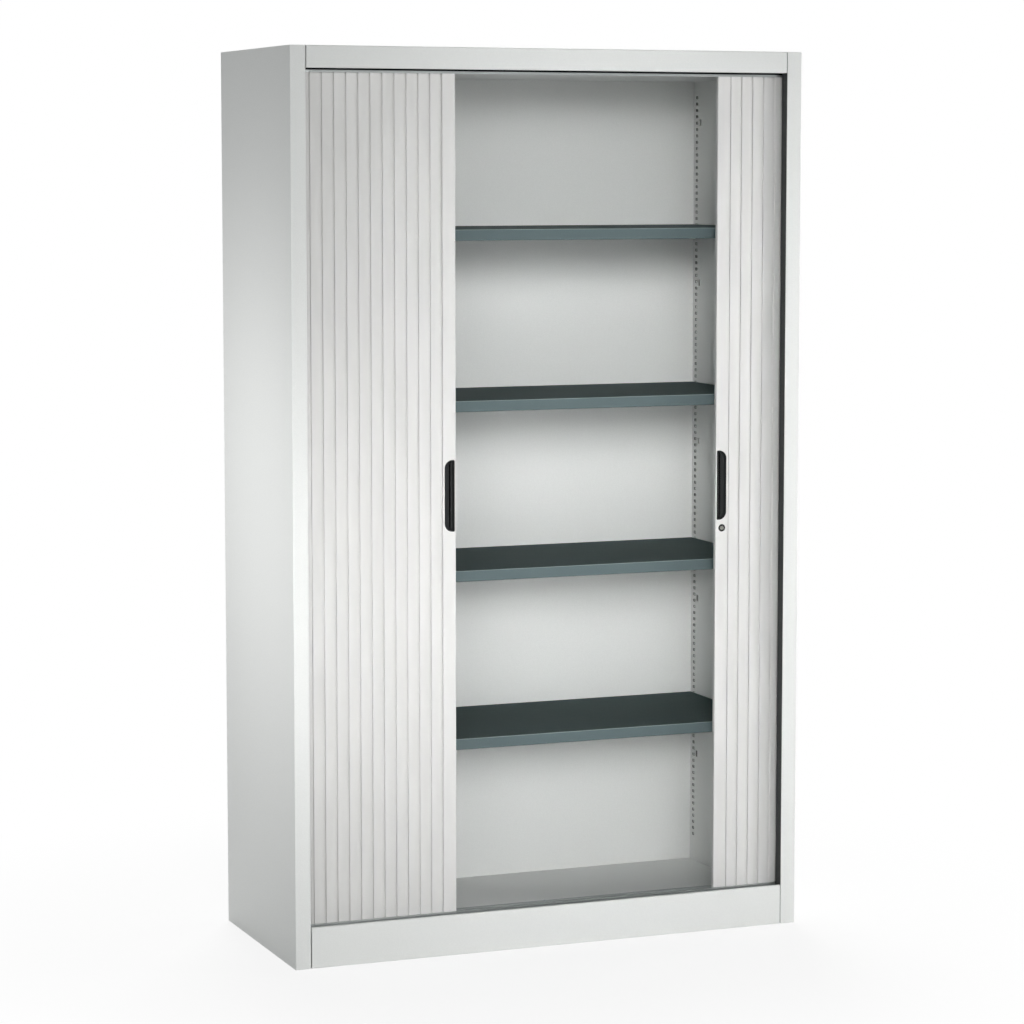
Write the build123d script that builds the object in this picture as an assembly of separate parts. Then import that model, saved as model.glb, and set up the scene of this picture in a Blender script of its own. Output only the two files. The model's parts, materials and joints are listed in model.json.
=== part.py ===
from build123d import *
import os
from math import radians, sin

# Roll-front tool cabinet: a sheet-steel carcass with four shelves and two tambour curtains.
# Each curtain of interlocking upright slats slides along the front, turns the front corner
# and is stored between the side panel and an inner liner.
# Axes: X to the right, the front faces -Y, Z up. Origin: middle of the base, on the floor.

# Carcass
WIDTH = 1200.0
DEPTH = 500.0
HEIGHT = 1980.0
SHEET = 1.0
BEND = 1.0                  # inner radius of every fold
TOUCH = 0.3                 # clearance between pieces that pass each other

STILE_WIDTH = 35.0
STILE_RETURN = 27.0
FRAME_GAP = 2.0             # shadow gap between a stile and the fascia or plinth
FRAME_LAP = 7.0             # depth of that gap
FRAME_TAB = 17.0            # length of the joggled tab that meets the stile return
FASCIA_HEIGHT = 47.0
FASCIA_RETURN = 15.0
FASCIA_UPTURN = 7.0
PLINTH_HEIGHT = 90.0
PLINTH_LIP = 5.0
PLINTH_HEM = 10.0
PLINTH_FOOT = 25.0
BACK_FLANGE = 18.0
BASE_FLANGE = 24.0
TOP_FLANGE = 18.0
TOP_BACK_DROP = 25.0

BACK_RECESS = 12.0          # inner face of the back panel, in front of the back plane
BACK_SIDE_GAP = 2.0
LINER_INSET = 37.0          # inner face of a liner, in from the outer side
LINER_SETBACK = 62.0
LINER_FRONT_FLANGE = 10.0
LINER_BACK_FLANGE = 15.0
FLOOR_HEIGHT = 55.0
RISER_SETBACK = 55.0        # upright front edge of the floor, behind the front plane
CEILING_BACK_UPTURN = 25.0

# Tracks
RUN_SETBACK = 35.0          # joint line of the curtain, behind the front plane
SIDE_RUN = 16.7             # joint line of the stored curtain, in from the outer side
TRACK_CHANNEL = 13.0
TRACK_WALL = 12.0
TRACK_GAP_ABOVE_PLINTH = 1.0
TRACK_FRONT_FLANGE = 8.2
TRACK_BACK_FLANGE = 11.5
TOP_TRACK_DROP = 8.5        # top track edge, below the fascia edge
TRACK_SCREWS = 5
SCREW_HEX = 5.5             # across flats
SCREW_HEAD = 1.8

# Curtain slats
LEAD_WIDTH = 31.0
NOMINAL_PITCH = 27.2
MEETING_GAP = 0.5
CORNER_SLATS = 2            # slats that stand on the quarter turn at each corner
LEFT_SLAT_COUNT = 11        # slats along the front while the left curtain stands half open
RIGHT_SLATS_LEFT = 4        # slats that still show beside the grip of an open curtain
SLAT_CROWN = 5.8            # front skin, in front of the joint line
SLAT_SAG = 0.8              # fall of the crowned skin towards its edges
SLAT_GROOVE = 1.6
SLAT_BACK = 3.3             # back face, behind the joint line
SKIN = 1.05
BEAD_RADIUS = 2.2
SOCKET_PLAY = 0.1
SOCKET_WALL = 1.0
NECK = 1.6
NECK_ROOM = 0.4             # between a socket and the next slat's body
BEAD_SIDES = 8
MOUTH_LOW = -30.0           # socket mouth, from below the neck ...
MOUTH_HIGH = 68.0           # ... to past the neck of a slat turned at the corner

# Lead bars, grips and lock
LEAD_BACK = 5.2
LEAD_EDGE_RADIUS = 1.2
SHOE_HEIGHT = 8.0
SHOE_INSET = 1.0
GRIP_HEIGHT = 157.0
GRIP_WIDTH = 23.5
GRIP_CENTRE = 1012.0
GRIP_EDGE = 2.5             # from the meeting edge
GRIP_DEPTH = 8.0
GRIP_WALL = 1.4
GRIP_FIT = 0.1
GRIP_FAR_RADIUS = 18.0
GRIP_NEAR_RADIUS = 3.0
GRIP_DRAFT = 14.0           # slope of the finger hollow's walls, degrees
LOCK_CENTRE = 915.0
LOCK_BARREL = 14.0
LOCK_ROSE = 17.0
LOCK_ROSE_THICK = 1.0
PLUG_DIAMETER = 9.0
PLUG_FIT = 0.05
KEY_SLOT_LENGTH = 5.6
KEY_SLOT_WIDTH = 1.2
KEY_SLOT_DEPTH = 6.0
CAM_THICK = 2.0
CAM_REACH = 24.0
CAM_WIDTH = 10.0
CAM_HOOK = 4.0
CAM_SCREW = 6.0
CAM_SCREW_HEAD = 1.6
KEEPER_COVER = 13.0
KEEPER_FOOT = 11.0
KEEPER_HEIGHT = 26.0
KEEPER_SHEET = 1.0
KEEPER_TONGUE = 2.2         # width of the tongue that the cam's notch closes round

# Shelves and their supports
SHELF_COUNT = 4
SHELF_ROW = 22              # row of holes that carries the lowest shelf
SHELF_ROWS_APART = 25
SHELF_SETBACK = 84.0
SHELF_SIDE_GAP = 1.5
SHELF_BACK_GAP = 1.5
SHELF_LIP = 24.5
SHELF_LIP_RETURN = 14.0
SHELF_BACK_LIP = 20.0
SHELF_BACK_RETURN = 6.0
SHELF_SIDE_FOLD = 18.0
HOLE_START = 118.0
HOLE_TOP_MARGIN = 87.0      # no hole above this distance from the top
HOLE_PITCH = 15.0
HOLE_LENGTH = 9.0
HOLE_HEIGHT = 5.0
HOLE_FROM_BACK = 18.0
HOLE_FROM_SHELF_FRONT = 45.0
SLOT_START = 317.0
SLOT_PITCH = 378.0
SLOT_LENGTH = 10.0
SLOT_HEIGHT = 15.0
SLOT_FROM_HOLES = 16.0
CLIP_SHEET = 1.2
CLIP_WIDTH = 18.0
CLIP_RISE = 16.0            # shelf top above the hole that its clip hooks in
CLIP_ABOVE_HOLE = 9.0
CLIP_TAB = 14.0
CLIP_HOOK_DEPTH = 3.0
CLIP_HOOK_FIT = 0.5

BUFFER_THICK = 7.0
BUFFER_WIDTH = 9.0
BUFFER_HEIGHT = 40.0
BUFFER_HEIGHTS = (300.0, 1000.0, 1700.0)

# Places that follow from the sizes above
SIDE = WIDTH / 2
FRONT = -DEPTH / 2
BACK = DEPTH / 2
FRAME_END = SIDE - STILE_WIDTH - FRAME_GAP
LINER_X = SIDE - LINER_INSET
BACK_FACE = BACK - BACK_RECESS
RUN_Y = FRONT + RUN_SETBACK
RISER_Y = FRONT + RISER_SETBACK
TRACK_TOP = PLINTH_HEIGHT + TRACK_GAP_ABOVE_PLINTH
TRACK_FLOOR = TRACK_TOP - TRACK_WALL
TOP_TRACK_EDGE = HEIGHT - FASCIA_HEIGHT - TOP_TRACK_DROP
CHANNEL_HALF = TRACK_CHANNEL / 2
CEILING = TOP_TRACK_EDGE + SHEET
TRACK_MIDDLE = (TRACK_TOP + TOP_TRACK_EDGE) / 2

# The stored slats turn a quarter circle whose chords are one pitch long, so the pitch that
# fills half the width exactly fixes the corner radius as well.
TURN = 90.0 / CORNER_SLATS
CHORD_RATIO = 1 / (2 * sin(radians(TURN / 2)))
RUN_SPAN = SIDE - SIDE_RUN - LEAD_WIDTH - MEETING_GAP / 2
FRONT_SLATS = round(RUN_SPAN / NOMINAL_PITCH - CHORD_RATIO)
PITCH = RUN_SPAN / (FRONT_SLATS + CHORD_RATIO)
CORNER_RADIUS = CHORD_RATIO * PITCH
CORNER_X = SIDE - SIDE_RUN - CORNER_RADIUS
CORNER_Y = RUN_Y + CORNER_RADIUS
POCKET_SLATS = int((BACK_FACE - BUFFER_THICK - BEAD_RADIUS - CORNER_Y) / PITCH)
# The right curtain stands open: more of its slats show where the pocket behind the liner is short.
RIGHT_SLAT_COUNT = max(RIGHT_SLATS_LEFT, FRONT_SLATS - POCKET_SLATS)
SLAT_BOTTOM = TRACK_FLOOR + TOUCH
SLAT_TOP = 2 * TRACK_MIDDLE - SLAT_BOTTOM
SOCKET_RADIUS = BEAD_RADIUS + SOCKET_PLAY
SOCKET_OUTER = SOCKET_RADIUS + SOCKET_WALL
SLAT_FRONT_EDGE = SLAT_CROWN - SLAT_SAG
BODY_START = SOCKET_OUTER + NECK_ROOM

SHELF_HALF = LINER_X - SHELF_SIDE_GAP
SHELF_FRONT_Y = FRONT + SHELF_SETBACK
BACK_HOLES_Y = BACK_FACE - HOLE_FROM_BACK
FRONT_HOLES_Y = SHELF_FRONT_Y + HOLE_FROM_SHELF_FRONT
SHELF_HOLES = [
    HOLE_START + HOLE_PITCH * (SHELF_ROW + SHELF_ROWS_APART * i) for i in range(SHELF_COUNT)
]


# Helpers -------------------------------------------------------------------------------------


def block(low, high):
    """Box between two opposite corners."""
    size = [b - a for a, b in zip(low, high)]
    return Pos(*low) * Box(*size, align=(Align.MIN, Align.MIN, Align.MIN))


def left_normal(start, end):
    """Unit vector to the left of the run from start to end."""
    return (Vector(*end) - Vector(*start)).normalized().rotate(Axis.Z, 90)


def sheet_face(points, rounded=(), sheet=SHEET):
    """Section of a folded sheet: the points run along one face, the sheet lies to their left.

    The folds whose number, counted from 1, is in rounded show their bend radius.
    """
    normals = [left_normal(a, b) for a, b in zip(points, points[1:])]
    far = [Vector(*points[0]) + normals[0] * sheet]
    near_radii = []
    far_radii = []
    for i in range(1, len(normals)):
        before, after = normals[i - 1], normals[i]
        far.append(Vector(*points[i]) + (before + after) * (sheet / (1 + before.dot(after))))
        inside, outside = (BEND, BEND + sheet) if i in rounded else (0, 0)
        turns_left = before.cross(after).Z > 0
        near_radii.append(outside if turns_left else inside)
        far_radii.append(inside if turns_left else outside)
    far.append(Vector(*points[-1]) + normals[-1] * sheet)
    radii = [0, *near_radii, 0, 0, *reversed(far_radii), 0]
    return make_face(FilletPolyline(*points, *reversed(far), radius=radii, close=True))


def upright(face, low, high):
    """Plan section raised from one height to another."""
    return extrude(Pos(0, 0, low) * face, amount=high - low)


def across(points, half_width, rounded=()):
    """Sheet folded to a section in the YZ plane and run across the width."""
    face = Plane.YZ * sheet_face(points, rounded)
    return extrude(face, amount=half_width, both=True)


def flipped(shape):
    """Mirror image on the other side of the cabinet."""
    return mirror(shape, about=Plane.YZ)


def overhead(shape):
    """Mirror image of a bottom track piece, at the top track."""
    return mirror(shape, about=Plane.XY.offset(TRACK_MIDDLE))


def save(name, *solids):
    """One STEP file for each node."""
    node = solids[0] if len(solids) == 1 else Compound(children=list(solids))
    export_step(node, f"parts/{name}.step")


# Carcass -------------------------------------------------------------------------------------


def side_panel():
    """Left side: panel, front stile with its return, back flange, base and top flanges."""
    plan = [
        (-SIDE + BACK_FLANGE, BACK),
        (-SIDE, BACK),
        (-SIDE, FRONT),
        (-SIDE + STILE_WIDTH, FRONT),
        (-SIDE + STILE_WIDTH, FRONT + STILE_RETURN),
    ]
    panel = upright(sheet_face(plan, rounded=(2, 3)), 0, HEIGHT)
    inner = SHEET / 2
    low = (-SIDE + inner, FRONT + inner, 0)
    base = block(low, (-SIDE + BASE_FLANGE, BACK_FACE, SHEET))
    lid_seat = HEIGHT - 2 * SHEET
    top = Pos(0, 0, lid_seat) * block(low, (-SIDE + TOP_FLANGE, BACK_FACE, SHEET))
    seat = block(
        (-SIDE + SHEET, FRONT + SHEET, HEIGHT - SHEET),
        (-SIDE + STILE_WIDTH + SHEET, BACK - SHEET, HEIGHT + SHEET),
    )
    return panel + base + top - seat


def frame_tabs(low, high):
    """Joggled end folds that close the shadow gap and meet the stile returns."""
    stile_edge = -SIDE + STILE_WIDTH
    step = FRONT + FRAME_LAP
    plan = [
        (stile_edge, step + FRAME_TAB),
        (stile_edge, step),
        (-FRAME_END, step),
        (-FRAME_END, FRONT + SHEET / 2),
    ]
    tab = upright(sheet_face(plan), low, high)
    return tab + flipped(tab)


def top_panel():
    """Top sheet with the fascia folded down at the front and a flange at the back."""
    drop = HEIGHT - TOP_BACK_DROP
    rear = BACK - SHEET
    edge = HEIGHT - FASCIA_HEIGHT
    return_end = FRONT + FASCIA_RETURN
    fascia = across(
        [
            (rear, drop),
            (rear, HEIGHT),
            (FRONT, HEIGHT),
            (FRONT, edge),
            (return_end, edge),
            (return_end, edge + FASCIA_UPTURN),
        ],
        FRAME_END,
        rounded=(2, 3),
    )
    lid = across([(rear, drop), (rear, HEIGHT), (FRONT + SHEET, HEIGHT)], SIDE - SHEET)
    return fascia + lid + frame_tabs(edge + FASCIA_UPTURN, HEIGHT - 2 * SHEET)


def plinth_front():
    """Kick plate with a hemmed top edge and a foot folded back along the floor."""
    lip = FRONT + PLINTH_LIP
    foot = FRONT + PLINTH_FOOT
    plate = across(
        [
            (lip, PLINTH_HEIGHT - PLINTH_HEM),
            (lip, PLINTH_HEIGHT),
            (FRONT, PLINTH_HEIGHT),
            (FRONT, 0),
            (foot, 0),
            (foot, PLINTH_HEM),
        ],
        FRAME_END,
        rounded=(2, 3),
    )
    return plate + frame_tabs(PLINTH_HEM, PLINTH_HEIGHT - PLINTH_HEM)


def back_panel():
    """Shallow pan that closes the back, standing on the floor tray."""
    half = SIDE - SHEET - BACK_SIDE_GAP
    rear = BACK - 2 * SHEET
    plan = [(-half, rear), (-half, BACK_FACE), (half, BACK_FACE), (half, rear)]
    pan = upright(sheet_face(plan), FLOOR_HEIGHT, HEIGHT - SHEET)
    inner = SHEET / 2
    bottom = block(
        (-half + inner, BACK_FACE + inner, FLOOR_HEIGHT),
        (half - inner, rear, FLOOR_HEIGHT + SHEET),
    )
    top = Pos(0, 0, HEIGHT - 2 * SHEET - FLOOR_HEIGHT) * bottom
    return pan + bottom + top


def floor_tray():
    """Cabinet floor with a rear skirt down to the ground and a riser up to the front track."""
    skirt = BACK - 2 * SHEET
    tray = across([(skirt, 0), (skirt, FLOOR_HEIGHT), (RISER_Y, FLOOR_HEIGHT)], SIDE - SHEET)
    ledge = TRACK_TOP - SHEET
    wall = RUN_Y + CHANNEL_HALF + SHEET
    riser = across(
        [(BACK_FACE, FLOOR_HEIGHT), (RISER_Y, FLOOR_HEIGHT), (RISER_Y, ledge), (wall, ledge)],
        CORNER_X,
    )
    return tray + riser


def ceiling_tray():
    """Inner ceiling that rests on the top track and hangs from the top panel by its riser."""
    front = RUN_Y + CHANNEL_HALF + 2 * SHEET
    upturn = CEILING + CEILING_BACK_UPTURN
    rear = [(BACK_FACE, CEILING), (BACK_FACE, upturn)]
    middle = across([(front, HEIGHT - SHEET), (front, CEILING), *rear], CORNER_X)
    return middle + across([(FRONT + LINER_SETBACK, CEILING), *rear], LINER_X)


def perforation():
    """Punches of one liner, seen from its side: hole columns with a slot column beside each."""
    highest = HEIGHT - HOLE_TOP_MARGIN
    hole_count = int((highest - HOLE_START) / HOLE_PITCH) + 1
    slot_count = int((highest - SLOT_START) / SLOT_PITCH) + 1
    punches = []
    for column, way in ((BACK_HOLES_Y, -1), (FRONT_HOLES_Y, 1)):
        for i in range(hole_count):
            hole = Rectangle(HOLE_LENGTH, HOLE_HEIGHT)
            punches.append(Pos(column, HOLE_START + HOLE_PITCH * i) * hole)
        for i in range(slot_count):
            slot = Rectangle(SLOT_LENGTH, SLOT_HEIGHT)
            place = column + way * SLOT_FROM_HOLES
            punches.append(Pos(place, SLOT_START + SLOT_PITCH * i) * slot)
    return punches


def liner():
    """Left inner wall: perforated for the shelf clips, it screens the stored curtain."""
    front = FRONT + LINER_SETBACK
    top = HEIGHT - SHEET
    corner = Pos(front, FLOOR_HEIGHT)
    wall = corner * Rectangle(
        BACK_FACE - front, top - FLOOR_HEIGHT, align=(Align.MIN, Align.MIN)
    )
    face = Plane.YZ.offset(-LINER_X - SHEET) * (wall - perforation())
    inner = -LINER_X - SHEET
    front_flange = block(
        (-LINER_X - LINER_FRONT_FLANGE, front, FLOOR_HEIGHT), (inner, front + SHEET, top)
    )
    back_flange = block(
        (-LINER_X - LINER_BACK_FLANGE, BACK_FACE - SHEET, FLOOR_HEIGHT), (inner, BACK_FACE, top)
    )
    return extrude(face, amount=SHEET) + front_flange + back_flange


# Tracks --------------------------------------------------------------------------------------


def front_track():
    """Straight bottom channel that guides both curtains along the front."""
    near = RUN_Y - CHANNEL_HALF
    far = RUN_Y + CHANNEL_HALF
    return across(
        [
            (far + SHEET + TRACK_BACK_FLANGE, TRACK_TOP),
            (far, TRACK_TOP),
            (far, TRACK_FLOOR),
            (near, TRACK_FLOOR),
            (near, TRACK_TOP),
            (near - SHEET - TRACK_FRONT_FLANGE, TRACK_TOP),
        ],
        CORNER_X,
    )


def corner_band(inner, outer, end_y):
    """Plan of a strip that follows the stored curtain, between two offsets from its joint line."""
    low = CORNER_RADIUS + inner
    high = CORNER_RADIUS + outer
    centre = (-CORNER_X, CORNER_Y)
    outline = [
        Line((-CORNER_X, CORNER_Y - low), (-CORNER_X, CORNER_Y - high)),
        CenterArc(centre, high, 180, 90),
        Line((-CORNER_X - high, CORNER_Y), (-CORNER_X - high, end_y)),
        Line((-CORNER_X - high, end_y), (-CORNER_X - low, end_y)),
        Line((-CORNER_X - low, end_y), (-CORNER_X - low, CORNER_Y)),
        CenterArc(centre, low, 180, 90),
    ]
    return make_face(outline)


def side_track():
    """Left bottom channel round the corner and back along the side panel."""
    end_y = BACK_FACE - BUFFER_THICK
    outer = CHANNEL_HALF + SHEET
    floor = upright(corner_band(-outer, outer, end_y), TRACK_FLOOR - SHEET, TRACK_FLOOR)
    walls = [
        upright(corner_band(a, a + SHEET, end_y), TRACK_FLOOR - SHEET / 2, TRACK_TOP)
        for a in (CHANNEL_HALF, -outer)
    ]
    flange = block(
        (-SIDE + SHEET, CORNER_Y, TRACK_TOP - SHEET),
        (-SIDE + SIDE_RUN - CHANNEL_HALF - SHEET / 2, end_y, TRACK_TOP),
    )
    return floor + walls[0] + walls[1] + flange


def track_screws():
    """Hexagon heads along the rear flange of the front track."""
    y = RUN_Y + CHANNEL_HALF + SHEET + TRACK_BACK_FLANGE / 2
    spacing = 2 * CORNER_X / TRACK_SCREWS
    head = extrude(RegularPolygon(SCREW_HEX / 2, 6, major_radius=False), amount=SCREW_HEAD)
    return [
        Pos(-CORNER_X + spacing * (i + 0.5), y, TRACK_TOP) * head for i in range(TRACK_SCREWS)
    ]


def stop_buffers():
    """Rubber blocks on the back panel that end the travel of a stored curtain."""
    x = -SIDE + SIDE_RUN
    buffer = block(
        (x - BUFFER_WIDTH / 2, BACK_FACE - BUFFER_THICK, -BUFFER_HEIGHT / 2),
        (x + BUFFER_WIDTH / 2, BACK_FACE, BUFFER_HEIGHT / 2),
    )
    left = [Pos(0, 0, z) * buffer for z in BUFFER_HEIGHTS]
    return left + [flipped(b) for b in left]


# Curtain slats -------------------------------------------------------------------------------
# A slat's own plan axes: its bead is at the origin, its socket one pitch along +X,
# and the crowned skin faces -Y.


def bead_face():
    """Rounded bead on its neck, the half of the joint that snaps into the next socket."""
    bead = RegularPolygon(BEAD_RADIUS, BEAD_SIDES, rotation=180 / BEAD_SIDES)
    neck = Rectangle(BODY_START + NECK, NECK, align=(Align.MIN, Align.CENTER))
    return bead + neck


def slat_face(mouth_from=MOUTH_LOW, mouth_to=MOUTH_HIGH):
    """Section of one slat: crowned skin, body, bead on one edge and socket on the other.

    The socket is open between two directions, in degrees from the slat's own +X.
    """
    half_groove = SLAT_GROOVE / 2
    far = PITCH - half_groove
    under_skin = -SLAT_FRONT_EDGE + SKIN
    back_corner = SLAT_BACK / 2
    skin = ThreePointArc(
        (half_groove, -SLAT_FRONT_EDGE), (PITCH / 2, -SLAT_CROWN), (far, -SLAT_FRONT_EDGE)
    )
    rest = Polyline(
        (far, -SLAT_FRONT_EDGE),
        (far, 0),
        (PITCH - SOCKET_OUTER, SLAT_BACK),
        (BODY_START + back_corner, SLAT_BACK),
        (BODY_START, SLAT_BACK - back_corner),
        (BODY_START, under_skin),
        (half_groove, under_skin),
        (half_groove, -SLAT_FRONT_EDGE),
    )
    joint = Pos(PITCH, 0) * Rot(0, 0, 180 / BEAD_SIDES)
    socket = joint * RegularPolygon(SOCKET_OUTER, BEAD_SIDES, major_radius=False)
    hollow = joint * RegularPolygon(SOCKET_RADIUS, BEAD_SIDES, major_radius=False)
    reach = Vector(2 * SOCKET_OUTER, 0)
    directions = (mouth_from, (mouth_from + mouth_to) / 2, mouth_to)
    fan = [reach.rotate(Axis.Z, angle) for angle in directions]
    mouth = Pos(PITCH, 0) * make_face(Polyline((0, 0), *fan, close=True))
    return make_face([skin, rest]) + socket + bead_face() - hollow - mouth


def slat(face, x, y, angle=0):
    """One slat with its bead at a point of the joint line, turned in plan by an angle."""
    return Pos(x, y, 0) * Rot(0, 0, angle) * upright(face, SLAT_BOTTOM, SLAT_TOP)


def lead_face():
    """Section of a lead bar: a bead joins it to the last slat, its plain edge meets the other."""
    half_groove = SLAT_GROOVE / 2
    under_skin = -SLAT_FRONT_EDGE + SKIN
    outline = FilletPolyline(
        (half_groove, -SLAT_CROWN),
        (LEAD_WIDTH, -SLAT_CROWN),
        (LEAD_WIDTH, LEAD_BACK),
        (BODY_START, LEAD_BACK),
        (BODY_START, under_skin),
        (half_groove, under_skin),
        radius=[LEAD_EDGE_RADIUS / 2, LEAD_EDGE_RADIUS, LEAD_EDGE_RADIUS, LEAD_EDGE_RADIUS, 0, 0],
        close=True,
    )
    return make_face(outline) + bead_face()


def left_slats(face, first, count):
    """Slats along the left front run, counted from the corner."""
    return [slat(face, -CORNER_X + PITCH * i, RUN_Y) for i in range(first, first + count)]


def corner_slats(face):
    """The slats that stand on the turn at the left corner.

    The first one's socket is open on the whole side of the front run, where the chain parts.
    """
    leaving = TURN / 2
    half_turn = 180
    parting_face = slat_face(leaving - half_turn / 2, leaving + half_turn / 2)
    placed = []
    for i in range(CORNER_SLATS):
        corner = Vector(0, -CORNER_RADIUS).rotate(Axis.Z, -TURN * (i + 1))
        x, y = corner.X - CORNER_X, corner.Y + CORNER_Y
        placed.append(slat(face if i else parting_face, x, y, -TURN * (i + 0.5)))
    return placed


def stored_slats(face, count):
    """The slats stored along the left side panel."""
    x = -SIDE + SIDE_RUN
    return [slat(face, x, CORNER_Y + PITCH * (i + 1), -90) for i in range(count)]


# Lead bars, grips and lock -------------------------------------------------------------------
# These are drawn for the left curtain, with the meeting edge at X = 0 and the joint line
# at Y = 0, and then moved to their place; the right curtain is the mirror image.


def grip_outline(inset=0.0):
    """Outline of the grip: nearly square corners at the meeting edge, wide arcs at the other."""
    plate = Rectangle(GRIP_WIDTH - 2 * inset, GRIP_HEIGHT - 2 * inset)
    far = plate.vertices().group_by(Axis.X)[0]
    near = plate.vertices().group_by(Axis.X)[-1]
    plate = fillet(far, GRIP_FAR_RADIUS - inset)
    near = [v for v in plate.vertices() if v.X > GRIP_WIDTH / 2 - inset - GRIP_FIT]
    return fillet(near, GRIP_NEAR_RADIUS - inset)


def grip_plane(depth):
    """Plane of the grip outline, at a depth behind the face of the lead bar."""
    centre = (-GRIP_EDGE - GRIP_WIDTH / 2, -SLAT_CROWN + depth, GRIP_CENTRE)
    return Plane(origin=centre, x_dir=(1, 0, 0), z_dir=(0, -1, 0))


def grip():
    """Recessed grip: a moulded cup with a finger hollow whose walls slope inwards."""
    cup = extrude(grip_plane(GRIP_DEPTH) * grip_outline(GRIP_FIT), amount=GRIP_DEPTH)
    hollow_depth = GRIP_DEPTH - GRIP_WALL
    mouth = grip_plane(0) * grip_outline(GRIP_FIT + GRIP_WALL)
    return cup - extrude(mouth, amount=-hollow_depth, taper=GRIP_DRAFT)


def lead_bar():
    """Left lead bar with the pocket for its grip."""
    bar = Pos(-LEAD_WIDTH, 0, 0) * upright(
        lead_face(), SLAT_BOTTOM + SHOE_HEIGHT, SLAT_TOP - SHOE_HEIGHT
    )
    return bar - extrude(grip_plane(GRIP_DEPTH) * grip_outline(), amount=2 * GRIP_DEPTH)


def lead_shoes():
    """Sliding shoes at both ends of a lead bar."""
    shoe = block(
        (-LEAD_WIDTH + BODY_START + SHOE_INSET, -SLAT_CROWN + SHOE_INSET, SLAT_BOTTOM),
        (-SHOE_INSET, LEAD_BACK - SHOE_INSET, SLAT_BOTTOM + SHOE_HEIGHT),
    )
    return [shoe, overhead(shoe)]


def lock_round(diameter, front, back):
    """Disc or cylinder on the lock's axis, between two depths from the joint line."""
    disc = Plane(origin=(-LEAD_WIDTH / 2, front, LOCK_CENTRE), z_dir=(0, 1, 0)) * Circle(diameter / 2)
    return extrude(disc, amount=back - front)


def lock_housing():
    """Barrel of the lock with its front rose, bored for the plug."""
    rose_front = -SLAT_CROWN - LOCK_ROSE_THICK
    body = lock_round(LOCK_BARREL, -SLAT_CROWN, LEAD_BACK)
    body += lock_round(LOCK_ROSE, rose_front, -SLAT_CROWN)
    return body - lock_round(PLUG_DIAMETER + 2 * PLUG_FIT, 2 * rose_front, 2 * LEAD_BACK)


def lock_plug():
    """Turning plug with the key slot."""
    front = -SLAT_CROWN - LOCK_ROSE_THICK + TOUCH
    plug = lock_round(PLUG_DIAMETER, front, LEAD_BACK + TOUCH)
    slot = Pos(-LEAD_WIDTH / 2, front + KEY_SLOT_DEPTH / 2, LOCK_CENTRE) * Box(
        KEY_SLOT_WIDTH, KEY_SLOT_DEPTH, KEY_SLOT_LENGTH
    )
    return plug - slot


def lock_cam():
    """Hooked arm behind the lead bar, hanging down while the lock is open."""
    plane = Plane(
        origin=(-LEAD_WIDTH / 2, LEAD_BACK + TOUCH, LOCK_CENTRE), x_dir=(1, 0, 0), z_dir=(0, -1, 0)
    )
    half = CAM_WIDTH / 2
    arm = Circle(half) + Pos(0, -CAM_REACH / 2) * Rectangle(CAM_WIDTH, CAM_REACH)
    notch = Pos(half, -CAM_REACH + CAM_HOOK * 1.5) * Rectangle(CAM_WIDTH, CAM_HOOK)
    return extrude(plane * (arm - notch), amount=-CAM_THICK)


def cam_screw():
    """Screw head that holds the cam on the plug."""
    back = LEAD_BACK + TOUCH + CAM_THICK
    return lock_round(CAM_SCREW, back, back + CAM_SCREW_HEAD)


def lock_keeper():
    """Bridge behind the left lead bar, with a tongue that the cam's hook swings up behind."""
    bridge = LEAD_BACK + 2 * TOUCH + CAM_THICK
    step = -KEEPER_COVER
    top = LOCK_CENTRE + KEEPER_HEIGHT / 2
    plan = [
        (step - KEEPER_FOOT, LEAD_BACK),
        (step, LEAD_BACK),
        (step, bridge),
        (-TOUCH, bridge),
    ]
    strap = upright(sheet_face(plan, sheet=KEEPER_SHEET), top - KEEPER_HEIGHT, top)
    lock_axis = MEETING_GAP + LEAD_WIDTH / 2
    hook_side = lock_axis - (CAM_REACH - CAM_HOOK - 2 * TOUCH)
    tongue = block(
        (hook_side, LEAD_BACK, LOCK_CENTRE + TOUCH),
        (hook_side + KEEPER_TONGUE, bridge + KEEPER_SHEET / 2, top),
    )
    return strap + tongue


# Shelves -------------------------------------------------------------------------------------


def shelf(top):
    """Sheet shelf folded down on all four sides."""
    rear = BACK_FACE - SHELF_BACK_GAP
    low = top - SHELF_LIP
    board = across(
        [
            (rear - SHELF_BACK_RETURN, top - SHELF_BACK_LIP),
            (rear, top - SHELF_BACK_LIP),
            (rear, top),
            (SHELF_FRONT_Y, top),
            (SHELF_FRONT_Y, low),
            (SHELF_FRONT_Y + SHELF_LIP_RETURN, low),
        ],
        SHELF_HALF,
        rounded=(3, 4),
    )
    fold = block(
        (-SHELF_HALF, SHELF_FRONT_Y + 2 * SHEET, top - SHELF_SIDE_FOLD),
        (-SHELF_HALF + SHEET, rear - 2 * SHEET, top - SHEET / 2),
    )
    return board + fold + flipped(fold)


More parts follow.
